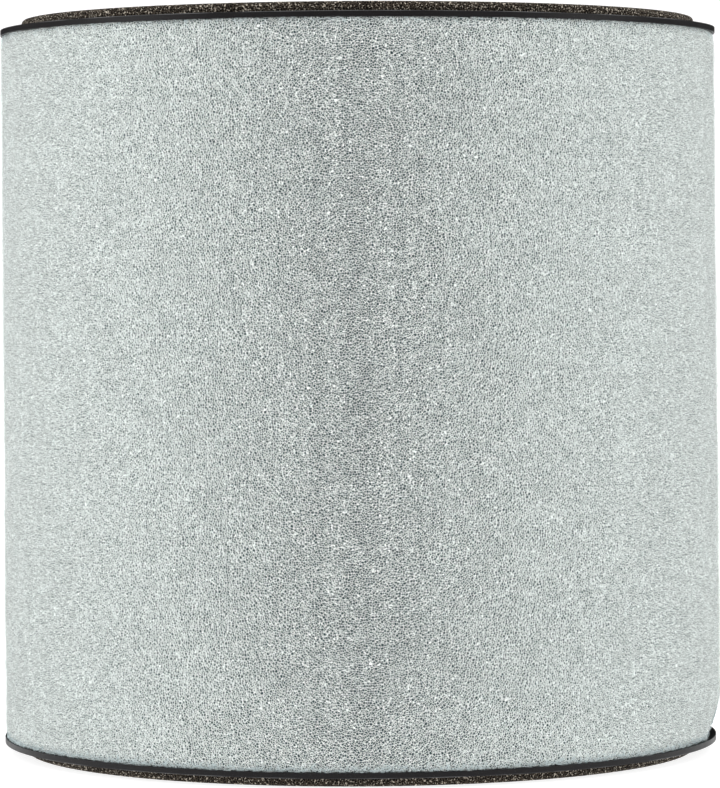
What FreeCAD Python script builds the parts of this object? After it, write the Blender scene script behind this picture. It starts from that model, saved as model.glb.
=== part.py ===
"""Drum filter for a room air purifier: a cylinder that air enters all round and leaves by the bore.

From the outside in, the drum is a lofty non-woven wrap, a slotted steel drum screen, a bed of granular
carbon, a slotted bed screen, a pleated paper pack and a moulded core cage. A pressed steel end cap closes
each end of the layers and leaves the bore open, and a foam ring seals each cap to the purifier.

Millimetres. The axis is Z, and the drum stands on its lower gasket at Z = 0. The wrap's lap is at +X.
"""

import FreeCAD
import Part
import math
import os

# The drum as a whole
rim_diameter = 356.0           # rim of each end cap, the widest rigid size
cap_to_cap_height = 354.0      # outer face to outer face of the end caps
layer_clearance = 0.2          # between one layer and the next

# End caps, pressed from one sheet, with the rim hemmed flat and the bore turned in
cap_sheet = 1.35               # steel with its coating
bore_lip_depth = 12.0
bore_bend = 2.0                # outside of the bend where the lip turns in

# Foam gaskets, stuck to the outer faces of the caps
gasket_thickness = 5.0
gasket_width = 26.0
gasket_setback = 10.5          # from the rim to the foam's outer edge

# Layers, from the rim to the bore, which takes what they leave
rim_overhang = 0.4             # rim past the wrap
wrap_thickness = 9.1
screen_sheet = 1.0             # both steel screens
bed_thickness = 38.0           # carbon with the cloth that lines both screens
pleat_depth = 30.0
core_wall = 2.0

# Pleats
pleat_count = 90
paper_thickness = 0.6

# Openings of the screens and of the core cage
screen_slot_count = 12
screen_slot_width = 14.0
screen_end_band = 30.0
core_window_count = 12
core_rib_width = 8.0
core_end_band = 20.0

# Lap of the wrap, where its outer end is laid over its inner end
lap_start = -20.0              # inner end of the sheet, degrees from +X
lap_end = 4.0                  # outer end of the sheet
lap_ramp = 24.0                # degrees over which a ply climbs or swells
lap_slack = 1.0                # degrees between a ply's end and the other ply's ramp
inner_ply = 4.2                # squeezed under the lap
outer_ply_top = 4.3
outer_ply_low = 7.0            # the outer ply bellies out low down

# Loose lower corner of the wrap's outer ply
corner_width = 52.0
corner_height = 38.0
corner_bow = 0.3               # how close the corner's curve keeps to the square corner

# Hook strip between the plies of the lap
strip_thickness = 1.0
strip_width = 20.0
strip_setback = 5.0            # from the sheet's outer end
strip_end_margin = 20.0

# Heights that follow
lower_face = gasket_thickness
upper_face = lower_face + cap_to_cap_height
middle_height = (lower_face + upper_face) / 2
floor = lower_face + cap_sheet
roof = upper_face - cap_sheet
hem_thickness = 2 * cap_sheet
wrap_low = lower_face + hem_thickness + layer_clearance
wrap_high = upper_face - hem_thickness - layer_clearance

# Radii that follow, from the rim to the bore
rim_radius = rim_diameter / 2
wrap_outer = rim_radius - rim_overhang
wrap_inner = wrap_outer - wrap_thickness
drum_screen_outer = wrap_inner - layer_clearance
drum_screen_inner = drum_screen_outer - screen_sheet
bed_outer = drum_screen_inner - layer_clearance
bed_inner = bed_outer - bed_thickness
bed_screen_outer = bed_inner - layer_clearance
bed_screen_inner = bed_screen_outer - screen_sheet
pleat_outer = bed_screen_inner - layer_clearance
pleat_inner = pleat_outer - pleat_depth
core_outer = pleat_inner - layer_clearance
core_inner = core_outer - core_wall
lip_outer = core_inner - layer_clearance
bore_radius = lip_outer - cap_sheet
gasket_outer = rim_radius - gasket_setback
gasket_inner = gasket_outer - gasket_width
lap_face = wrap_inner + inner_ply
over_face = lap_face + strip_thickness

ORIGIN = FreeCAD.Vector(0, 0, 0)
UP = FreeCAD.Vector(0, 0, 1)
TURN = 360


def polar(radius, degrees, z=0.0):
    """Point at a radius, an angle from +X and a height."""
    angle = math.radians(degrees)
    return FreeCAD.Vector(radius * math.cos(angle), radius * math.sin(angle), z)


def turned(outline, sweep=TURN):
    """Solid turned about the axis from a closed outline of (radius, height) corners."""
    corners = [FreeCAD.Vector(radius, 0, z) for radius, z in outline]
    return Part.Face(Part.makePolygon(corners + corners[:1])).revolve(ORIGIN, UP, sweep)


def sector(inner, outer, low, high, start=0.0, sweep=TURN):
    """Piece of a tube, or a whole tube, from a start angle."""
    piece = turned([(inner, low), (outer, low), (outer, high), (inner, high)], sweep)
    piece.rotate(ORIGIN, UP, start)
    return piece


def at_other_end(shape):
    """The same piece at the top of the drum."""
    return shape.mirror(FreeCAD.Vector(0, 0, middle_height), UP)


def lower_end_cap():
    """Ring of sheet. Its hem is folded flat over the plate, and the hem's edge centres the drum screen."""
    hem_top = lower_face + hem_thickness
    hem_edge = drum_screen_outer + layer_clearance
    lip_top = lower_face + bore_lip_depth
    return turned([
        (bore_radius, lip_top),
        (bore_radius, lower_face + bore_bend),
        (bore_radius + bore_bend, lower_face),
        (rim_radius, lower_face),
        (rim_radius, hem_top),
        (hem_edge, hem_top),
        (hem_edge, floor),
        (lip_outer, floor),
        (lip_outer, lip_top),
    ])


def slotted_tube(inner, outer, slot_count, slot_width, end_band):
    """Tube from cap to cap, open in a ring of tall slots and left plain at both ends."""
    wall = sector(inner, outer, floor, roof)
    past = outer - inner
    sweep = math.degrees(slot_width / outer)
    slot = sector(inner - past, outer + past, floor + end_band, roof - end_band, -sweep / 2, sweep)
    return wall.cut(around(slot, slot_count))


def steel_screen(inner, outer):
    """Rolled and punched sheet that holds the carbon on one side."""
    return slotted_tube(inner, outer, screen_slot_count, screen_slot_width, screen_end_band)


def core_cage():
    """Moulded tube that backs the pleats, open between upright ribs."""
    window_width = 2 * math.pi * core_outer / core_window_count - core_rib_width
    return slotted_tube(core_inner, core_outer, core_window_count, window_width, core_end_band)


def around(shape, count):
    """Copies of a shape, evenly spaced about the axis."""
    copies = []
    for index in range(count):
        copy = shape.copy()
        copy.rotate(ORIGIN, UP, index * TURN / count)
        copies.append(copy)
    return copies


def fold_half_width(far_offset, run, crease):
    """Half the width of a flattened fold, so that the strip keeps its thickness along the flank.

    far_offset is how far to the side the flank ends, and run is the flank's radial length.
    """
    return (paper_thickness - crease * far_offset / run) / (1 - crease / run)


def pleat_pack():
    """One strip of paper folded to and fro into a ring of radial pleats, with its true thickness."""
    pitch = TURN / pleat_count
    half_pitch = math.radians(pitch / 2)
    crease = 3 * paper_thickness
    run = pleat_depth - crease
    valley = pleat_inner + crease
    crest = pleat_outer - crease
    outer_fold = math.degrees(fold_half_width(valley * math.sin(half_pitch), run, crease) / pleat_outer)
    inner_fold = math.degrees(fold_half_width(crest * math.sin(half_pitch), run, crease) / pleat_inner)
    outside, inside = [], []
    for pleat in range(pleat_count):
        ridge = pleat * pitch
        trough = ridge + pitch / 2
        outside += [polar(pleat_outer, ridge - outer_fold), polar(pleat_outer, ridge + outer_fold)]
        outside += [polar(valley, trough)]
        inside += [polar(crest, ridge)]
        inside += [polar(pleat_inner, trough - inner_fold), polar(pleat_inner, trough + inner_fold)]
    strip = prism(outside).cut(prism(inside))
    strip.translate(UP * floor)
    return strip


def prism(corners):
    """Upright solid of the height between the caps, on a closed polygon of corners."""
    return Part.Face(Part.makePolygon(corners + corners[:1])).extrude(UP * (roof - floor))


def bend(radius_from, radius_to, start, end, z):
    """Curve about the axis that may change its radius from one angle to another."""
    middle = polar((radius_from + radius_to) / 2, (start + end) / 2, z)
    return Part.Arc(polar(radius_from, start, z), middle, polar(radius_to, end, z)).toShape()


def wrap_outside(z, outer_ply):
    """Outer outline of the wound sheet at a height, with the step where its outer end stops."""
    crown = over_face + outer_ply
    climb_end = lap_start + TURN
    return Part.Wire([
        bend(wrap_outer, wrap_outer, lap_end + lap_ramp, climb_end - lap_ramp, z),
        bend(wrap_outer, crown, climb_end - lap_ramp, climb_end, z),
        bend(crown, crown, climb_end, lap_end + TURN, z),
        Part.makeLine(polar(crown, lap_end, z), polar(lap_face, lap_end, z)),
        bend(lap_face, lap_face, lap_end, lap_end + lap_slack, z),
        bend(lap_face, wrap_outer, lap_end + lap_slack, lap_end + lap_ramp, z),
    ])


def wrap_hollow():
    """What the wound sheet leaves free: the inside of the drum, and the slit between the lapped plies."""
    climb_end = lap_start + TURN - lap_slack
    slit_end = lap_end + lap_slack
    outline = Part.Wire([
        bend(wrap_inner, wrap_inner, lap_start, climb_end - lap_ramp, wrap_low),
        bend(wrap_inner, over_face, climb_end - lap_ramp, climb_end, wrap_low),
        bend(over_face, over_face, climb_end, slit_end + TURN, wrap_low),
        Part.makeLine(polar(over_face, slit_end, wrap_low), polar(lap_face, slit_end, wrap_low)),
        bend(lap_face, lap_face, slit_end, lap_start, wrap_low),
        Part.makeLine(polar(lap_face, lap_start, wrap_low), polar(wrap_inner, lap_start, wrap_low)),
    ])
    return Part.Face(outline).extrude(UP * (wrap_high - wrap_low))


def prefilter_wrap():
    """Lofty sheet wound once round the drum screen, fuller at the foot of its lap and loose at one corner."""
    outside = [wrap_outside(wrap_low, outer_ply_low), wrap_outside(wrap_high, outer_ply_top)]
    return Part.makeLoft(outside, True, True).cut([wrap_hollow(), loose_corner()])


def loose_corner():
    """What is missing from the outer ply's lower corner. The inner ply behind it is whole."""
    reach = rim_radius + wrap_thickness
    end_y = reach * math.sin(math.radians(lap_end))
    below = wrap_low - corner_height
    start = FreeCAD.Vector(0, end_y - corner_width, wrap_low)
    bow = FreeCAD.Vector(0, end_y - corner_width * corner_bow, wrap_low + corner_height * corner_bow)
    finish = FreeCAD.Vector(0, end_y, wrap_low + corner_height)
    square = [finish, FreeCAD.Vector(0, end_y, below), FreeCAD.Vector(0, start.y, below), start]
    edges = [Part.Arc(start, bow, finish).toShape()] + Part.makePolygon(square).Edges
    block = Part.Face(Part.Wire(edges)).extrude(FreeCAD.Vector(reach, 0, 0))
    return block.common(sector(lap_face + strip_thickness / 2, reach, below, finish.z))


def wrap_hook_strip():
    """Strip of hooks between the plies, just inside the sheet's outer end."""
    sweep = math.degrees(strip_width / lap_face)
    start = lap_end - math.degrees(strip_setback / lap_face) - sweep
    low = wrap_low + corner_height + strip_end_margin
    return sector(lap_face, over_face, low, wrap_high - strip_end_margin, start, sweep)


def pieces():
    """Every separate piece, by name."""
    cap = lower_end_cap()
    gasket = sector(gasket_inner, gasket_outer, 0, lower_face)
    return {
        "lower_end_cap": cap,
        "upper_end_cap": at_other_end(cap),
        "lower_gasket": gasket,
        "upper_gasket": at_other_end(gasket),
        "prefilter_wrap": prefilter_wrap(),
        "wrap_hook_strip": wrap_hook_strip(),
        "drum_screen": steel_screen(drum_screen_inner, drum_screen_outer),
        "carbon_bed": sector(bed_inner, bed_outer, floor, roof),
        "bed_screen": steel_screen(bed_screen_inner, bed_screen_outer),
        "pleat_pack": pleat_pack(),
        "core_cage": core_cage(),
    }


def main():
    os.makedirs("parts", exist_ok=True)
    print(f"bore radius {bore_radius:.2f}, gasket from {gasket_inner:.2f} to {gasket_outer:.2f}")
    for name, shape in pieces().items():
        shape.exportStep(f"parts/{name}.step")
        volume = shape.Volume / 1000
        print(f"{name}: solids {len(shape.Solids)}, {volume:.1f} cm3, valid {shape.isValid()}")


main()
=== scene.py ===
# %% [markdown]
# # Drum filter for a room air purifier
#
# The object is a drum that stands on end. Air enters through a pale fibrous wrap all round, passes a
# bed of carbon and a pack of folded paper, and leaves by the open bore. Two black steel caps close
# the ends, each with a ring of dark foam.
#
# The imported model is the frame: everything made here is in metres, in its place from the start. The
# rigid pieces are kept and only get a finish. The wrap and the foam rings are soft, so they are
# modelled again here with the surface that the plain solids lack.

# %% The frame, and the size of the drum
import math

import bpy
import numpy as np
from mathutils import Matrix, Vector
from mathutils import noise


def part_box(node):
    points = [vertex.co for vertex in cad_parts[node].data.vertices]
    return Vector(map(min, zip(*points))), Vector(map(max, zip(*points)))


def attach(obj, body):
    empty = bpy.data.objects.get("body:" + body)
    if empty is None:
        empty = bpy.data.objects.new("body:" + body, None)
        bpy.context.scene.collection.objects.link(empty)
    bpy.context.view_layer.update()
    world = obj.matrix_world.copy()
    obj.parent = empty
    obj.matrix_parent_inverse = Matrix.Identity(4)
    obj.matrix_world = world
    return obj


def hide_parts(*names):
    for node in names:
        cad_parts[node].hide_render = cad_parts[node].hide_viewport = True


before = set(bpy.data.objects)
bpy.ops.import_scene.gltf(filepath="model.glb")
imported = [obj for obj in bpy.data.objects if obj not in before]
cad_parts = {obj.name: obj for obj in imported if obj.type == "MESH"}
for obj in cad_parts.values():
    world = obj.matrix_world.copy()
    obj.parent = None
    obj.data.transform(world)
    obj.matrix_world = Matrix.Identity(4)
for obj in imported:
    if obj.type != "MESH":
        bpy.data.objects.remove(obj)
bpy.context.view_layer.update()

scene = bpy.context.scene
MM = 0.001

# %% [markdown]
# ## Camera
#
# A product photograph is taken from far away with a long lens, so that the drum's ends look nearly
# flat. How far away shows in how much the two rims curve: the same rim curves more when the camera
# is closer. The distance, height and tilt below were found by fitting both rims and both edges of
# the drum at once, which is more exact than trying values by eye.

# %% Camera from the fitted distance, height and tilt
PICTURE = (720, 788)               # pixels, width and height
FILM = 36.0                        # mm along the picture's longer side
FAR_LIMIT = 50.0                   # metres, beyond the floor's far edge
camera_distance = 2.1614           # metres from the drum's axis
camera_height = 0.2435             # metres above the floor
camera_pitch = math.radians(1.755)     # downwards
camera_yaw = math.radians(0.0113)      # to the right
camera_roll = math.radians(0.275)
focal_pixels = 4313.0

lens = bpy.data.cameras.new("studio_camera")
camera = bpy.data.objects.new("studio_camera", lens)
scene.collection.objects.link(camera)
scene.camera = camera
lens.sensor_fit = "AUTO"
lens.sensor_width = FILM
lens.lens = focal_pixels / max(PICTURE) * FILM
lens.clip_end = FAR_LIMIT

across = Vector((math.sin(camera_yaw), math.cos(camera_yaw), 0))
ahead = across * math.cos(camera_pitch) - Vector((0, 0, math.sin(camera_pitch)))
level = Vector((across.y, -across.x, 0))
down = ahead.cross(level)
right = level * math.cos(camera_roll) + down * math.sin(camera_roll)
below = down * math.cos(camera_roll) - level * math.sin(camera_roll)
camera.matrix_world = Matrix.Translation((0, -camera_distance, camera_height)) @ Matrix((
    (right.x, -below.x, -ahead.x),
    (right.y, -below.y, -ahead.y),
    (right.z, -below.z, -ahead.z),
)).to_4x4()
print("lens", round(lens.lens, 1), "mm at", camera_distance, "m")

# %% [markdown]
# ## Light and floor
#
# The wrap is lit evenly from all round, and the background is white, so a white surround does most
# of the work. The black rims are darkest in the middle and at their ends, and grey in between, so
# what they mirror is two bright boxes beside the drum and little else. The surround therefore lights
# the drum but doesn't show in its gloss. The floor is a light table, a pale sheet lit from below,
# which keeps it as white as the background right up to the drum.

# %% Soft boxes, surround and floor
scene.view_settings.view_transform = "Standard"


def soft_box(name, place, target, width, height, power):
    """A large area light that faces a point."""
    light = bpy.data.lights.new(name, "AREA")
    light.shape = "RECTANGLE"
    light.size = width
    light.size_y = height
    light.energy = power
    box = bpy.data.objects.new(name, light)
    scene.collection.objects.link(box)
    box.location = place
    box.rotation_euler = (Vector(target) - Vector(place)).to_track_quat("-Z", "Y").to_euler()


MIDDLE = (0, 0, 0.18)
BOX_SIZE = (1.0, 1.6)              # metres, width and height
LEFT_POWER = 10.0                  # watts
RIGHT_POWER = 7.0
soft_box("soft_box_left", (-1.8, -0.5, 0.6), MIDDLE, *BOX_SIZE, LEFT_POWER)
soft_box("soft_box_right", (1.8, -0.5, 0.6), MIDDLE, *BOX_SIZE, RIGHT_POWER)

SURROUND_STRENGTH = 1.13
world = bpy.data.worlds.new("studio")
scene.world = world
world.use_nodes = True
surround = world.node_tree.nodes["Background"]
surround.inputs["Color"].default_value = (1, 1, 1, 1)
surround.inputs["Strength"].default_value = SURROUND_STRENGTH
world.cycles_visibility.glossy = False

FLOOR_REACH = 6.0                  # metres from the middle to each side
corner_signs = ((-1, -1), (1, -1), (1, 1), (-1, 1))
floor_mesh = bpy.data.meshes.new("studio_floor")
floor_corners = [(x * FLOOR_REACH, y * FLOOR_REACH, 0) for x, y in corner_signs]
floor_mesh.from_pydata(floor_corners, [], [(0, 1, 2, 3)])
floor = bpy.data.objects.new("studio_floor", floor_mesh)
scene.collection.objects.link(floor)

# %% [markdown]
# ## Writing a finish as sums
#
# A material is a graph of nodes. Long chains of Math nodes are hard to read, so the small class
# `Amount` wraps one socket and turns `a * 0.5 + b` into the nodes for it. `Finish` holds one
# material. Its method `node` adds any other node: the settings first, then the sockets.

# %% Amount: a number that varies over a surface
class Amount:
    """One socket of a material, for use in sums."""

    def __init__(self, finish, socket):
        self.finish = finish
        self.socket = socket

    def __add__(self, other):
        return self.finish.maths("ADD", self, other)

    def __radd__(self, other):
        return self.finish.maths("ADD", other, self)

    def __sub__(self, other):
        return self.finish.maths("SUBTRACT", self, other)

    def __rsub__(self, other):
        return self.finish.maths("SUBTRACT", other, self)

    def __mul__(self, other):
        return self.finish.maths("MULTIPLY", self, other)

    def __rmul__(self, other):
        return self.finish.maths("MULTIPLY", other, self)

    def __abs__(self):
        return self.finish.maths("ABSOLUTE", self)


# %% Finish: one material and its nodes
class Finish:
    """A material in the making. Constants go straight to the shader's own sockets."""

    def __init__(self, name, **constants):
        self.material = bpy.data.materials.new(name)
        self.material.use_nodes = True
        self.tree = self.material.node_tree
        self.shader = self.tree.nodes["Principled BSDF"]
        for socket, value in constants.items():
            self.join(self.shader.inputs[socket.replace("_", " ")], value)

    def join(self, socket, value):
        """Link a socket to an Amount, or set its value."""
        if isinstance(value, Amount):
            self.tree.links.new(value.socket, socket)
        elif hasattr(socket.default_value, "__len__"):
            size = len(socket.default_value)
            socket.default_value = tuple(value) + (1.0,) * (size - len(value))
        else:
            socket.default_value = value

    def node(self, kind, settings=(), sockets=(), output=0):
        """Any node: its type, its settings, then the values or links of its sockets."""
        made = self.tree.nodes.new("ShaderNode" + kind)
        for name, value in dict(settings).items():
            setattr(made, name, value)
        for name, value in dict(sockets).items():
            self.join(made.inputs[name], value)
        return Amount(self, made.outputs[output])

    def maths(self, operation, *values):
        """A sum of numbers."""
        return self.node("Math", {"operation": operation}, enumerate(values))

    def place(self):
        """Where a point is on the object, in metres."""
        return self.node("TexCoord", output="Object")

    def vector(self, operation, *values):
        """A sum of places or directions."""
        return self.node("VectorMath", {"operation": operation}, enumerate(values))

    def place_on_drum(self, radius):
        """The place, moved in or out to one radius, so that a pattern is the same at every depth."""
        outward = self.vector("NORMALIZE", self.vector("MULTIPLY", self.place(), (1, 1, 0)))
        on_drum = self.vector("MULTIPLY", outward, (radius, radius, radius))
        return self.vector("ADD", on_drum, self.vector("MULTIPLY", self.place(), (0, 0, 1)))

    def cut_face(self):
        """1 on a cut edge, which faces up, down or along the sheet, and 0 on its two faces."""
        outward = self.vector("NORMALIZE", self.vector("MULTIPLY", self.place(), (1, 1, 0)))
        facing = self.node("NewGeometry", output="True Normal")
        turned_out = self.node("VectorMath", {"operation": "DOT_PRODUCT"}, {0: facing, 1: outward}, "Value")
        return self.spread(abs(turned_out), 0.3, 0.6, 1.0, 0.0)

    def grain(self, size, detail=2.0, offset=(0, 0, 0), roughness=0.5, where=None):
        """Soft noise from 0 to 1, with blobs of about the given size in metres."""
        moved = self.vector("ADD", where or self.place(), offset)
        return self.node(
            "TexNoise", {"noise_dimensions": "3D"},
            {"Vector": moved, "Scale": 1 / size, "Detail": detail, "Roughness": roughness},
        )

    def spread(self, value, low, high, to_low=0.0, to_high=1.0):
        """Stretch the range from low to high over the range from to_low to to_high, and clip it."""
        return self.node(
            "MapRange", {"clamp": True},
            {"Value": value, "From Min": low, "From Max": high, "To Min": to_low, "To Max": to_high},
        )

    def tint(self, factor, dark, light):
        """Colour between two others. The numbered sockets are the colour ones of a Mix node."""
        return self.node("Mix", {"data_type": "RGBA"}, {0: factor, 6: dark, 7: light}, output=2)

    def relief(self, height, depth, after=None):
        """Bump of a depth in metres, on top of another bump if one is given."""
        sockets = {"Height": height, "Distance": depth, "Strength": 1.0}
        if after is not None:
            sockets["Normal"] = after
        return self.node("Bump", {}, sockets)

    def set(self, **sockets):
        """Give the shader's sockets their values, and hand over the material."""
        for socket, value in sockets.items():
            self.join(self.shader.inputs[socket.replace("_", " ")], value)
        return self.material


def dress(node_name, material):
    """Give a kept solid its finish."""
    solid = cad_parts[node_name]
    solid.data.materials.clear()
    solid.data.materials.append(material)
    return solid


floor_finish = Finish(
    "light_table", Base_Color=(0.40, 0.40, 0.40), Roughness=0.9, Specular_IOR_Level=0.1,
    Emission_Color=(1, 1, 1), Emission_Strength=0.85,
)
floor.data.materials.append(floor_finish.material)
print("finishes so far:", floor_finish.material.name)

# %% [markdown]
# ## Coated steel caps
#
# Each cap is one pressed sheet with its rim folded flat over itself, under a black powder coat. The
# coat flows a little before it sets, which leaves a faint orange peel, and it rounds every edge. A
# Bevel modifier gives the edges their catch of light without changing the solid, and two bumps of
# different sizes break up the sheen. Along the rim's outer corner a pale line between rim and foam
# is a painted highlight in the coat's colour.

# %% Coated steel
rim_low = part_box("lower_end_cap")[0][2]
rim_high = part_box("upper_end_cap")[1][2]
rim_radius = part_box("upper_end_cap")[1][0]
edge_radius = 1.1 * MM
HIGHLIGHT_HEIGHT = (0.36 * MM, 0.22 * MM)     # from the rim's end face, where the painted highlight begins and is full
HIGHLIGHT_DEPTH = (0.9 * MM, 0.7 * MM)        # from the rim's outer radius, in the same way
HIGHLIGHT_SHARE = (0.10, 1.0)                 # least and most of it along the rim
HIGHLIGHT_GREY = (0.10, 0.10, 0.102)
DUST = (0.16, 0.15, 0.145)
DUST_SHARE = 0.35


def painted_corner_highlight(coat):
    """Mask of the painted highlight: 1 along the outer corner of either rim, and 0 elsewhere."""
    height = coat.node("SeparateXYZ", {}, {"Vector": coat.place()}, output="Z")
    from_middle = abs(height - (rim_low + rim_high) / 2)
    flat = coat.vector("MULTIPLY", coat.place(), (1, 1, 0))
    radius = coat.node("VectorMath", {"operation": "LENGTH"}, {0: flat}, output="Value")
    begins, full = [(rim_high - rim_low) / 2 - below for below in HIGHLIGHT_HEIGHT]
    begins_at, full_at = [rim_radius - inside for inside in HIGHLIGHT_DEPTH]
    return coat.spread(from_middle, begins, full) * coat.spread(radius, begins_at, full_at)


def coated_steel():
    """Black powder coat with orange peel, a little dust and a painted highlight along each rim's outer
    corner.
    """
    coat = Finish("coated_steel", Specular_IOR_Level=0.20)
    cloud = coat.grain(30 * MM, 3.0)
    peel = coat.grain(0.9 * MM, 2.0, offset=(3, 1, 2))
    dust = coat.spread(coat.grain(0.35 * MM, 1.0, offset=(7, 5, 1)), 0.66, 0.80)
    black = coat.tint(cloud, (0.005, 0.0045, 0.005), (0.010, 0.009, 0.010))
    # Painted highlight: a pale grey along the outer corner of each rim, stronger in some places than others
    # along it.
    highlight_strength = coat.spread(coat.grain(25 * MM, 3.0, offset=(9, 2, 6)), 0.40, 0.60, *HIGHLIGHT_SHARE)
    highlighted_black = coat.tint(painted_corner_highlight(coat) * highlight_strength, black, HIGHLIGHT_GREY)
    colour = coat.tint(dust * DUST_SHARE, highlighted_black, DUST)
    return coat.set(
        Base_Color=colour,
        Roughness=coat.spread(cloud + peel * 0.4, 0.4, 1.0, 0.34, 0.46),
        Normal=coat.relief(peel, 0.02 * MM, coat.relief(cloud, 0.10 * MM)),
    )


coat = coated_steel()
for end in ("lower", "upper"):
    cap = dress(f"{end}_end_cap", coat)
    rounding = cap.modifiers.new("coated_edges", "BEVEL")
    rounding.width = edge_radius
    rounding.segments = 4
    rounding.limit_method = "ANGLE"
    rounding.angle_limit = math.radians(50)
    rounding.harden_normals = True

# %% [markdown]
# ## Layers inside the drum
#
# Five layers hide behind the wrap. Two zinc-coated screens of punched sheet hold the carbon between
# them, whose grains are a few millimetres across. Inside them stands the paper pack, folded from one
# strip of glass-fibre paper, round a moulded black cage that shows in the bore.

# %% Zinc, carbon, paper, plastic and hook tape
CRYSTAL = 7 * MM                   # patches of the zinc coating
GRANULE = 2.6 * MM


def zinc():
    """Metal in crystal patches of two greys."""
    sheet = Finish("zinc_sheet", Metallic=1.0)
    crystal = sheet.node("TexVoronoi", {}, {"Vector": sheet.place(), "Scale": 1 / CRYSTAL}, output="Color")
    patch = sheet.node("SeparateColor", {}, {"Color": crystal})
    return sheet.set(
        Base_Color=sheet.tint(patch, (0.46, 0.47, 0.48), (0.62, 0.63, 0.64)),
        Roughness=sheet.spread(patch, 0.0, 1.0, 0.32, 0.52),
    )


def carbon():
    """Black granules, from the cells of a Voronoi pattern, with painted shade in the gaps between them."""
    grains = Finish("carbon_grains", Roughness=0.6, Specular_IOR_Level=0.4)
    edge = grains.node("TexVoronoi", {"feature": "DISTANCE_TO_EDGE"},
                       {"Vector": grains.place(), "Scale": 1 / GRANULE})
    # Painted shade: near-black in the gaps between granules, lighter on their crowns.
    crown = grains.spread(edge, 0.0, 0.35)
    return grains.set(
        Base_Color=grains.tint(crown, (0.004, 0.004, 0.004), (0.030, 0.030, 0.031)),
        Normal=grains.relief(crown, 0.9 * MM),
    )


def plain_finish(name, dark, light, roughness, grain_size, depth):
    """Two close colours in soft clouds, with a fine relief."""
    plain = Finish(name, Roughness=roughness, Specular_IOR_Level=0.4)
    cloud = plain.grain(12 * MM, 3.0)
    fine = plain.grain(grain_size, 3.0, offset=(4, 4, 4))
    return plain.set(Base_Color=plain.tint(cloud, dark, light), Normal=plain.relief(fine, depth))


zinc_sheet = zinc()
dress("drum_screen", zinc_sheet)
dress("bed_screen", zinc_sheet)
dress("carbon_bed", carbon())
PLAIN_FINISHES = (                 # node, finish, dark, light, roughness, grain, depth of grain
    ("pleat_pack", "pleat_paper", (0.76, 0.76, 0.72), (0.86, 0.86, 0.83), 0.95, 0.7 * MM, 0.05 * MM),
    ("core_cage", "core_plastic", (0.028, 0.028, 0.029), (0.045, 0.045, 0.046), 0.42, 0.5 * MM, 0.02 * MM),
    ("wrap_hook_strip", "hook_tape", (0.62, 0.63, 0.61), (0.80, 0.81, 0.79), 0.85, 0.9 * MM, 0.4 * MM),
)
for node_name, *finish_values in PLAIN_FINISHES:
    dress(node_name, plain_finish(*finish_values))
print("layers dressed:", [n for n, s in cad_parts.items() if s.data.materials])

# %% [markdown]
# ## Foam gaskets
#
# The gasket is cut from open-cell foam, so its skin isn't a skin at all: it is a cut through
# thousands of small bubbles. From a step away that shows as dark pits with pale threads of foam
# between them. The ring is modelled with rounded corners and a surface that really goes in and out
# by a few tenths of a millimetre, so its outline against the light is rough. The bubbles that are
# too small for that are in the bump, and in the colour as painted shade in their pits, with a
# painted glint here and there on a thread.

# %% A ring with a rough skin, from its section
CORNER_STEPS = 3


def rounded_section(inner, outer, low, high, radius, pitch):
    """Points round a rectangle with rounded corners, about a pitch apart."""
    centres = [(outer - radius, low + radius, -90), (outer - radius, high - radius, 0),
               (inner + radius, high - radius, 90), (inner + radius, low + radius, 180)]
    outline = []
    for centre_r, centre_z, start in centres:
        for step in range(CORNER_STEPS + 1):
            angle = math.radians(start + 90 * step / CORNER_STEPS)
            outline.append((centre_r + radius * math.cos(angle), centre_z + radius * math.sin(angle)))
    points = []
    for here, there in zip(outline, outline[1:] + outline[:1]):
        count = max(1, round(math.dist(here, there) / pitch))
        for step in range(count):
            share = step / count
            points.append([a + (b - a) * share for a, b in zip(here, there)])
    return np.array(points)


def link_mesh(name, vertices, faces, material):
    """A new smooth piece that rides on the drum."""
    mesh = bpy.data.meshes.new(name)
    mesh.vertices.add(len(vertices))
    mesh.vertices.foreach_set("co", np.asarray(vertices, dtype=np.float32).ravel())
    corners = np.asarray(faces, dtype=np.int32)
    mesh.loops.add(corners.size)
    mesh.loops.foreach_set("vertex_index", corners.ravel())
    mesh.polygons.add(len(corners))
    mesh.polygons.foreach_set("loop_start", np.arange(len(corners), dtype=np.int32) * corners.shape[1])
    mesh.update(calc_edges=True)
    mesh.polygons.foreach_set("use_smooth", np.ones(len(corners), dtype=bool))
    mesh.materials.append(material)
    mesh.validate()
    piece = bpy.data.objects.new(name, mesh)
    scene.collection.objects.link(piece)
    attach(piece, "root")
    return piece


def grid_faces(rows, columns, closed=False):
    """Four-sided faces of a grid of points. A closed grid runs round on itself both ways."""
    row = np.arange(rows if closed else rows - 1)[:, None]
    column = np.arange(columns if closed else columns - 1)[None, :]
    next_row = (row + 1) % rows
    next_column = (column + 1) % columns
    corners = [row * columns + column, row * columns + next_column,
               next_row * columns + next_column, next_row * columns + column]
    return np.stack([np.broadcast_to(c, (row.size, column.size)) for c in corners], -1).reshape(-1, 4)


# %% Rough noise on many points at once
def rough(points, size, seed):
    """Noise from -1 to 1 at each point, with bumps of about the given size."""
    shift = Vector((seed, seed * 2.0, seed * 3.0))
    return np.array([noise.noise(Vector(p) / size + shift) for p in points])


gasket_width = 26 * MM
foam_corner = 1.6 * MM
foam_pitch = 1.5 * MM
foam_pit = 0.28 * MM               # deepest pit of the skin
foam_bubble = 1.6 * MM             # from pit to pit
foam_cell = 1.15 * MM              # cells that are only in the colour and the bump


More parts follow.
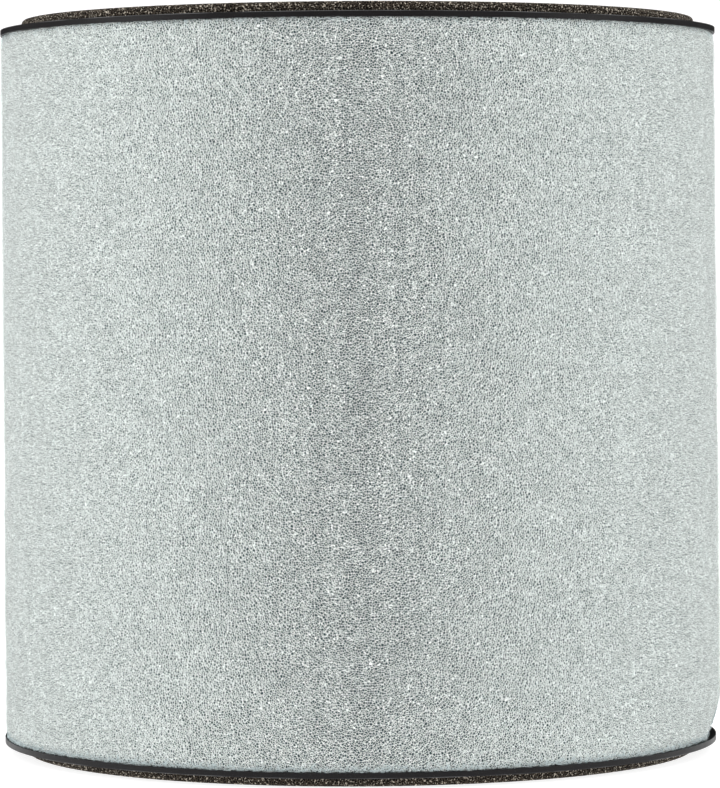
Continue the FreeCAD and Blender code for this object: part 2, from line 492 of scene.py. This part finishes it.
def foam_ring(name, node_name, material, seed):
    """A ring in the place of one gasket solid, with pits all over."""
    low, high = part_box(node_name)
    outer = high[0]
    inner = outer - gasket_width
    section = rounded_section(inner, outer, low[2], high[2], foam_corner, foam_pitch)
    columns = int(2 * math.pi * outer / foam_pitch)
    turn = np.linspace(0, 2 * math.pi, columns, endpoint=False)
    radius = section[:, 0][:, None]
    points = np.stack([radius * np.cos(turn), radius * np.sin(turn),
                       np.broadcast_to(section[:, 1][:, None], (len(section), columns))], -1)
    centre = np.array([(inner + outer) / 2, (low[2] + high[2]) / 2])
    inward = section - centre
    inward /= np.linalg.norm(inward, axis=1)[:, None]
    flat = points.reshape(-1, 3)
    pit = -foam_pit * (0.5 + 0.5 * rough(flat, foam_bubble, seed)).reshape(len(section), columns)
    points[..., 0] += pit * inward[:, 0][:, None] * np.cos(turn)
    points[..., 1] += pit * inward[:, 0][:, None] * np.sin(turn)
    points[..., 2] += pit * inward[:, 1][:, None]
    faces = grid_faces(len(section), columns, closed=True)
    ring = link_mesh(name, flat, faces, material)
    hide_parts(node_name)
    return ring


# %% Open-cell foam
def gasket_foam():
    """Painted shade in the pits, pale threads between them, and here and there a painted glint on a thread.
    """
    foam = Finish("gasket_foam", Roughness=0.95, Specular_IOR_Level=0.25)
    cells = foam.node("TexVoronoi", {"feature": "DISTANCE_TO_EDGE"},
                      {"Vector": foam.place(), "Scale": 1 / foam_cell})
    thread = foam.spread(cells, 0.04, 0.16, 1.0, 0.0)
    cloud = foam.grain(9 * MM, 3.0)
    # Painted shade: the pits between the threads are nearly black.
    pit = foam.tint(cloud, (0.003, 0.0025, 0.002), (0.010, 0.0075, 0.005))
    strand = foam.tint(cloud, (0.045, 0.035, 0.025), (0.12, 0.095, 0.07))
    # Painted highlight: pale glints on some of the threads.
    painted_glint = foam.spread(foam.grain(0.9 * MM, 1.0, offset=(2, 4, 9)), 0.56, 0.64)
    return foam.set(
        Base_Color=foam.tint(painted_glint * thread, foam.tint(thread, pit, strand), (0.80, 0.72, 0.60)),
        Normal=foam.relief(thread, 0.25 * MM),
    )


foam = gasket_foam()
for seed, end in enumerate(("lower", "upper")):
    ring = foam_ring(f"{end}_foam_ring", f"{end}_gasket", foam, seed + 1)
    print(ring.name, len(ring.data.polygons), "faces")

# %% [markdown]
# ## The wrap as a wound sheet
#
# The wrap is one lofty sheet, wound once round the drum and lapped at the right. Its inner end is
# squeezed under the lap, its outer end lies on top, and the outer ply bellies out low down. Where
# the sheet meets the caps its cut edges tuck in. Its shape is two functions of the angle and the
# height, one for each face, so the grid below is simply those two faces and the edges between them.

# %% Radii of the two faces of the sheet
wrap_outer = 177.6 * MM
wrap_inner = 168.5 * MM
lap_face = 172.7 * MM              # inner ply's outer face, squeezed under the lap
over_face = 173.7 * MM             # outer ply's inner face, over the hook strip
crown_low = 179.9 * MM             # outer ply's outer face, low down and high up
crown_high = 177.8 * MM
sheet_start = -20.0                # degrees from +X
sheet_end = 364.0
ramp = 24.0                        # degrees over which a ply swells or climbs
hidden = 25.0                      # degrees of the inner end that stay squeezed
crowned = 24.0                     # degrees of the outer end that are as proud as they get
laid_over = (49.0, 25.0)           # degrees before the outer end, from start to end of the climb
corner_width = 52 * MM             # loose lower corner of the outer ply
corner_height = 38 * MM
corner_step = 0.18                 # share of its height that rises at once
corner_sharpness = 0.03            # share of its width that this first rise takes
corner_curve = 1.3                 # how the rest of it bends
low_tuck = 0.9 * MM                # how far the cut edges are drawn in at the caps
high_tuck = 1.0 * MM
LOW_TUCK_HEIGHT = 7 * MM           # over which the sheet comes out again
HIGH_TUCK_HEIGHT = 6 * MM
low_hollow = 3.0 * MM              # how far the outer ply draws in under its belly
HOLLOW_HEIGHT = 26 * MM
PAST_THE_BACK = 300                # degrees; the loose corner is only looked for beyond this
wrap_low, wrap_high = (corner[2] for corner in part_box("prefilter_wrap"))


def ease(value, low, high):
    """Smooth step from 0 to 1."""
    share = np.clip((value - low) / (high - low), 0, 1)
    return share * share * (3 - 2 * share)


def outer_face(degrees, z):
    """Radius of the face that shows, without its roughness."""
    height = (z - wrap_low) / (wrap_high - wrap_low)
    crown = crown_low + (crown_high - crown_low) * ease(height, 0.0, 1.0)
    swell = ease(degrees, sheet_start + hidden, sheet_start + hidden + ramp)
    radius = lap_face + (wrap_outer - lap_face) * swell
    climb = ease(degrees, sheet_end - crowned - ramp, sheet_end - crowned)
    radius = radius + (crown - wrap_outer) * climb
    tuck_below = low_tuck * (1 - ease(z - wrap_low, 0, LOW_TUCK_HEIGHT))
    tuck_above = high_tuck * (1 - ease(wrap_high - z, 0, HIGH_TUCK_HEIGHT))
    hollow = low_hollow * climb * (1 - ease(z - wrap_low, 0, HOLLOW_HEIGHT))
    return radius - (tuck_below + tuck_above) - hollow


def inner_face(degrees):
    """Radius of the face on the drum screen, which climbs over the sheet's own inner end."""
    climb = ease(degrees, sheet_end - laid_over[0], sheet_end - laid_over[1])
    return wrap_inner + (over_face - wrap_inner) * climb


def lower_edge(degrees):
    """Height of the sheet's lower edge. The outer end's corner has come loose and is rounded off."""
    end_y = lap_face * np.sin(np.radians(degrees - 360))
    far_y = lap_face * math.sin(math.radians(sheet_end - 360))
    share = np.clip((end_y - (far_y - corner_width)) / corner_width, 0, 1)
    first = corner_step * (1 - np.exp(-share / corner_sharpness))
    rise = first + (1 - corner_step) * share ** corner_curve
    return wrap_low + np.where(degrees > PAST_THE_BACK, corner_height * rise, 0)


# %% The sheet's grid
web_height = 0.45 * MM             # room under the solid's face for the web and the loose fibres
SWELLS = ((0.45 * MM, 38 * MM, 11.0), (0.12 * MM, 9 * MM, 12.0))      # depth, size, seed
EDGE_WAVES = ((0.45 * MM, 4.0, 0), (0.35 * MM, 1.4, 1))    # depth, length in mm, added to the seed
EDGE_RADIUS = 170                  # mm, about the sheet's own radius
LOW_RAGGED = 0.15                  # share of those waves at each cut edge
HIGH_RAGGED = 0.5
HIGH_LIFT = 0.1 * MM               # how far the upper cut edge is pressed up against the cap
columns = 330
rows = 100
degrees = np.linspace(sheet_start, sheet_end, columns)[None, :]
share = np.linspace(0, 1, rows)[:, None]


def cut_edge(seed):
    """Small ups and downs of a cut edge, along the sheet."""
    along = np.radians(np.linspace(sheet_start, sheet_end, columns)) * EDGE_RADIUS
    line = np.stack([along, 0 * along + seed, 0 * along], 1)
    return sum(depth * rough(line, length, seed + more) for depth, length, more in EDGE_WAVES)


bottom = lower_edge(degrees[0]) + LOW_RAGGED * cut_edge(3.0)
top = wrap_high + HIGH_RAGGED * cut_edge(5.0) + HIGH_LIFT
heights = bottom[None, :] + (top - bottom)[None, :] * share
angles = np.radians(np.broadcast_to(degrees, heights.shape))


def sheet_points(radius):
    """The grid's points at the given radii."""
    return np.stack([radius * np.cos(angles), radius * np.sin(angles), heights], -1)


outside = outer_face(degrees, heights)
inside = inner_face(degrees)
flat_points = sheet_points(outside).reshape(-1, 3)
swelling = sum(depth * rough(flat_points, size, seed) for depth, size, seed in SWELLS)
outside = outside + swelling.reshape(outside.shape) - web_height
most = float(abs(swelling).max())
print("sheet", rows, "by", columns, "points, uneven by up to", round(most / MM, 2), "mm")


# %% Close the sheet round its four edges
def closed_sheet(outer_points, inner_points):
    """Both faces of the sheet, joined by a strip round its four cut edges."""
    count = rows * columns
    vertices = np.concatenate([outer_points.reshape(-1, 3), inner_points.reshape(-1, 3)])
    outer_faces = grid_faces(rows, columns)
    inner_faces = outer_faces[:, ::-1] + count
    index = np.arange(count).reshape(rows, columns)
    rim = np.concatenate([index[0, :-1], index[:-1, -1], index[-1, :0:-1], index[:0:-1, 0]])
    following = np.roll(rim, -1)
    edge_faces = np.stack([rim, rim + count, following + count, following], 1)
    return vertices, np.concatenate([outer_faces, inner_faces, edge_faces])


# %% [markdown]
# ## The wrap's grain
# The near-black in the pores of the body is painted shade, and each layer is painted darker the deeper it
# lies, as painted shade of the layers in front of it.
#
# Seen square on, the eye looks down between the fibres into dark pores about a millimetre apart.
# Seen from the side, the same fibres hide the pores and the wrap looks smooth and pale. A painted
# pattern can't do that, because it looks the same from everywhere. So the grain has real depth: three
# thin shells stand in front of the sheet's body, each cut through by the same pores, narrower
# strands in front and wider ones behind. Square on the pores line up, and at a slant they close.
#
# The strands come from two patterns. The borders between the cells of a Voronoi pattern make a net,
# and soft noise, where it crosses its middle value, draws thin wandering lines across it.

# %% The web of strands, and the layers that it is cut into
PORE_PITCH = 1.10 * MM
CROSSING = 1.40 * MM
NET_SHARE = 0.30                   # these two bring both patterns to strands of a like width
CROSSING_SHARE = 1.5
FULL_WIDTH = 0.55                  # share of a strand's reach that is solid, before it thins out
CLOUD = 18 * MM
CLOUD_RANGE = (0.90, 1.02)
PLY = 0.8 * MM                     # streaks in the cut edges
CUT_DARK = (0.40, 0.47, 0.47)
CUT_LIGHT = (0.80, 0.85, 0.84)


def distance_to_strand(finish, shift):
    """0 on a strand's middle, and larger towards the middle of a pore."""
    where = finish.vector("ADD", finish.place_on_drum(wrap_outer), (0, 0, shift))
    net = finish.node("TexVoronoi", {"feature": "DISTANCE_TO_EDGE"},
                      {"Vector": where, "Scale": 1 / PORE_PITCH})
    crossing = abs(finish.grain(CROSSING, 0.0, offset=(1, 2, 3), where=where) - 0.5)
    return finish.maths("MINIMUM", net * NET_SHARE, crossing * CROSSING_SHARE)


def web_layer(name, reach, dark, light, cut_through, shift=0.0):
    """Finish of one layer. Strands are as wide as reach says; between them the body has painted shade, and
    a shell is open.
    """
    felt = Finish(name, Roughness=0.9, Specular_IOR_Level=0.2, Sheen_Weight=0.2, Sheen_Roughness=0.5)
    strand = felt.spread(distance_to_strand(felt, shift), reach * FULL_WIDTH, reach, 1.0, 0.0)
    cloud = felt.grain(CLOUD, 1.0, offset=(5, 6, 7))
    shades = [tuple(share * part for part in light) for share in CLOUD_RANGE]
    colour = felt.tint(cloud, *shades)
    if cut_through:
        return felt.set(Base_Color=colour, Alpha=strand)
    cut_colour = felt.tint(felt.grain(PLY, 3.0, offset=(8, 8, 2)), CUT_DARK, CUT_LIGHT)
    return felt.set(Base_Color=felt.tint(felt.cut_face(), felt.tint(strand, dark, colour), cut_colour))


# Painted shade: near-black in the pores of the sheet's body.
PORE_SHADE = (0.002, 0.022, 0.026)
# The body's own strands are painted darker than any shell's, as painted shade under the shells.
body_finish = web_layer("wrap_body", 0.027, PORE_SHADE, (0.31, 0.39, 0.38), False)
vertices, faces = closed_sheet(sheet_points(outside), sheet_points(inside))
wrap = link_mesh("prefilter_sheet", vertices, faces, body_finish)
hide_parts("prefilter_wrap")

# %% Three shells in front of the body
SHELLS = (                         # name, stand-off, shift of the pattern, reach of a strand, colour, painted darker the deeper the shell lies, as shade
    ("inner_web", 0.22 * MM, 0.03 * MM, 0.0205, (0.58, 0.64, 0.615)),
    ("middle_web", 0.44 * MM, -0.05 * MM, 0.0185, (0.76, 0.81, 0.785)),
    ("outer_web", 0.66 * MM, 0.02 * MM, 0.0172, (0.885, 0.93, 0.912)),
)
near_edge = np.minimum(heights - bottom[None, :], top[None, :] - heights)
for name, stand_off, shift, reach, light in SHELLS:
    lifted = sheet_points(outside + stand_off * ease(near_edge, -1 * MM, 3 * MM)).reshape(-1, 3)
    finish = web_layer(name, reach, PORE_SHADE, light, True, shift)
    shell = link_mesh(name, lifted, grid_faces(rows, columns), finish)
    print(name, len(shell.data.polygons), "faces")

# %% [markdown]
# ## Loose fibres
#
# On top of the web lie single crimped fibres, which wander over the sheet and dip in and out of it.
# They break the outline at the sides. Each is a thin ribbon with its own roll, which catches light
# as a round fibre does at a sixth of the triangles.

# %% Crimped fibres over the sheet
FIBRE_POINTS = 8
FIRST_ANGLE = sheet_start + 26     # where the inner end has come out from under the lap
LAST_START = sheet_end - 0.3       # fibres start up to here, and wander up to the next
LAST_ANGLE = sheet_end - 0.1
SHORT_OF_EDGE = 0.6 * MM           # how far from the cut edge some fibres stop
DRIFT = 0.10                       # radians that a fibre turns at each point, spread about 0
CRIMP = (0.3, 1.0)                 # radians that it swings to and fro
CRIMP_RATE = (1.1, 2.2)            # radians of that swing's wave from point to point
DIP_RATE = (0.5, 1.3)              # the same for its dips in and out of the sheet
ROLL = 0.4                         # radians that a ribbon lies off flat, spread about 0
TWIST = 0.5                        # radians that it turns from end to end, spread about 0
WIDTHS = (0.6, 1.3)                # shares of a layer's width
TIP = 0.25                         # radians cut off a half sine wave, so that ends aren't points
BLUNTNESS = 0.3


def sheet_radius(degrees, z):
    """Radius of the finished outer face, read from the grid."""
    along = (degrees - sheet_start) / (sheet_end - sheet_start)
    column = np.clip(along * (columns - 1), 0, columns - 1.001)
    low = np.interp(column, np.arange(columns), bottom)
    high = np.interp(column, np.arange(columns), top)
    row = np.clip((z - low) / (high - low) * (rows - 1), 0, rows - 1.001)
    before = column.astype(int)
    under = row.astype(int)
    ahead_by = column - before
    above_by = row - under
    lower = outside[under, before] * (1 - ahead_by) + outside[under, before + 1] * ahead_by
    upper = outside[under + 1, before] * (1 - ahead_by) + outside[under + 1, before + 1] * ahead_by
    return lower * (1 - above_by) + upper * above_by


def ribbons(centres, width, roll):
    """Faces and points of one ribbon along each row of centres, tapered to both ends."""
    along = np.gradient(centres, axis=1)
    along /= np.linalg.norm(along, axis=2, keepdims=True)
    outward = centres * (1, 1, 0)
    outward /= np.linalg.norm(outward, axis=2, keepdims=True)
    across = np.cross(along, outward)
    across /= np.linalg.norm(across, axis=2, keepdims=True)
    lift = np.cross(across, along)
    count, points = centres.shape[:2]
    taper = np.sin(np.linspace(TIP, math.pi - TIP, points)) ** BLUNTNESS
    half = (width / 2)[:, None, None] * taper[None, :, None]
    side = (across * np.cos(roll)[..., None] + lift * np.sin(roll)[..., None]) * half
    vertices = np.stack([centres - side, centres + side], 2).reshape(-1, 3)
    first = (np.arange(count)[:, None] * points + np.arange(points - 1)[None, :]) * 2
    faces = np.stack([first, first + 1, first + 3, first + 2], -1).reshape(-1, 4)
    return vertices, faces


def laid_fibres(name, count, seed, zone, step, past, depths, width, material):
    """Fibres that start in a zone of heights and wander over the sheet, between two depths."""
    chance = np.random.default_rng(seed)
    angle = chance.uniform(FIRST_ANGLE, LAST_START, count)
    z = chance.uniform(*zone, count)
    heading = chance.uniform(0, 2 * math.pi, count)
    drift = chance.normal(0, DRIFT, count)
    crimp = chance.uniform(*CRIMP, count)
    crimp_phase = chance.uniform(0, 2 * math.pi, count)
    crimp_rate = chance.uniform(*CRIMP_RATE, count)
    phase = chance.uniform(0, 2 * math.pi, count)
    rate = chance.uniform(*DIP_RATE, count)
    overshoot = chance.uniform(-SHORT_OF_EDGE, past, count)
    deepest, proudest = depths
    centres = np.empty((count, FIBRE_POINTS, 3))
    for point in range(FIBRE_POINTS):
        inside_angle = np.clip(angle, FIRST_ANGLE, LAST_ANGLE)
        low = np.interp(inside_angle, degrees[0], bottom) - overshoot
        high = np.interp(inside_angle, degrees[0], top) + overshoot
        inside_z = np.clip(z, low, high)
        depth = deepest + (proudest - deepest) * (0.5 + 0.5 * np.sin(phase + rate * point))
        radius = sheet_radius(inside_angle, inside_z) + depth
        turn = np.radians(inside_angle)
        centres[:, point] = np.stack([radius * np.cos(turn), radius * np.sin(turn), inside_z], 1)
        course = heading + drift * point + crimp * np.sin(crimp_phase + crimp_rate * point)
        angle = angle + np.degrees(step * np.cos(course) / radius)
        z = z + step * np.sin(course)
    start_roll = chance.normal(0, ROLL, count)[:, None]
    twist = chance.normal(0, TWIST, count)[:, None] * np.linspace(0, 1, FIBRE_POINTS)
    vertices, faces = ribbons(centres, width * chance.uniform(*WIDTHS, count), start_roll + twist)
    return link_mesh(name, vertices, faces, material)


def fibre_finish(name, colour):
    """One plain colour."""
    return Finish(name, Base_Color=colour, Roughness=0.6, Specular_IOR_Level=0.3).material


ALL_OVER = (wrap_low, wrap_high)
LOW_EDGE = (wrap_low + 0.4 * MM, wrap_low + 1.6 * MM)
HIGH_EDGE = (wrap_high - 1.6 * MM, wrap_high - 0.4 * MM)
EDGE_COLOUR = (0.52, 0.60, 0.61)
FIRST_SEED = 21
LAYERS = (          # name, count, zone of heights, then in mm: step, past the edge, depths, width; colour
    # The low fibres lie deeper in the web and are painted darker than the top fibres, as painted shade.
    ("low_fibres", 4000, ALL_OVER, 1.4, 0.4, (0.1, 1.0), 0.16, (0.64, 0.72, 0.70)),
    ("top_fibres", 7000, ALL_OVER, 1.4, 0.4, (0.5, 1.2), 0.14, (0.88, 0.94, 0.92)),
    ("low_edge_fibres", 4500, LOW_EDGE, 0.5, 0.6, (-0.3, 0.8), 0.30, EDGE_COLOUR),
    ("high_edge_fibres", 900, HIGH_EDGE, 0.5, 0.3, (0.0, 0.6), 0.30, EDGE_COLOUR),
)
for seed, (name, count, zone, step, past, depths, width, colour) in enumerate(LAYERS, FIRST_SEED):
    finish = fibre_finish(name, colour)
    metres = [depth * MM for depth in depths]
    layer = laid_fibres(name, count, seed, zone, step * MM, past * MM, metres, width * MM, finish)
    print(name, len(layer.data.polygons), "faces")
